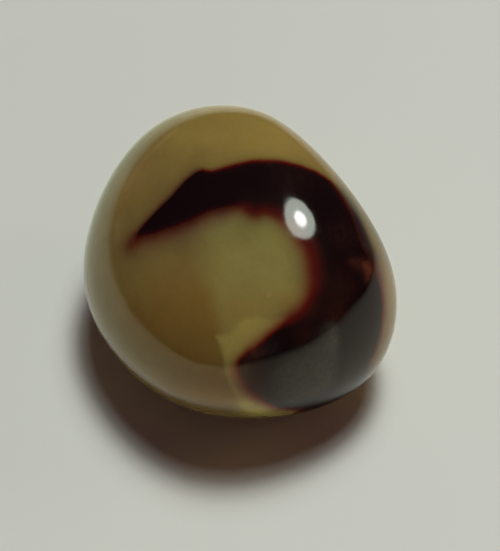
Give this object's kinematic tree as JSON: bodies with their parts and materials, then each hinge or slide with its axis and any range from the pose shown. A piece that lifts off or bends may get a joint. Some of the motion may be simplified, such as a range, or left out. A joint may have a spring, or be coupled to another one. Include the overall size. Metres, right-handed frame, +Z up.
{
  "type": "tumbled mookaite jasper stone",
  "caption": "Smooth tumbled jasper pebble, rounded at every corner, tan and olive with a dark maroon band, resting on a small flat spot.",
  "frame": {"origin": "on the resting surface, under the middle of the stone's box", "axes": "+Z up from the resting surface, -Y towards the side that the picture shows"},
  "size_m": [0.0248, 0.025, 0.0197],
  "materials": {
    "polished_jasper": "tumbled to a high polish, tan to olive with dark maroon marking"
  },
  "bodies": {
    "root": {"stone": "polished_jasper"}
  },
  "joints": []
}
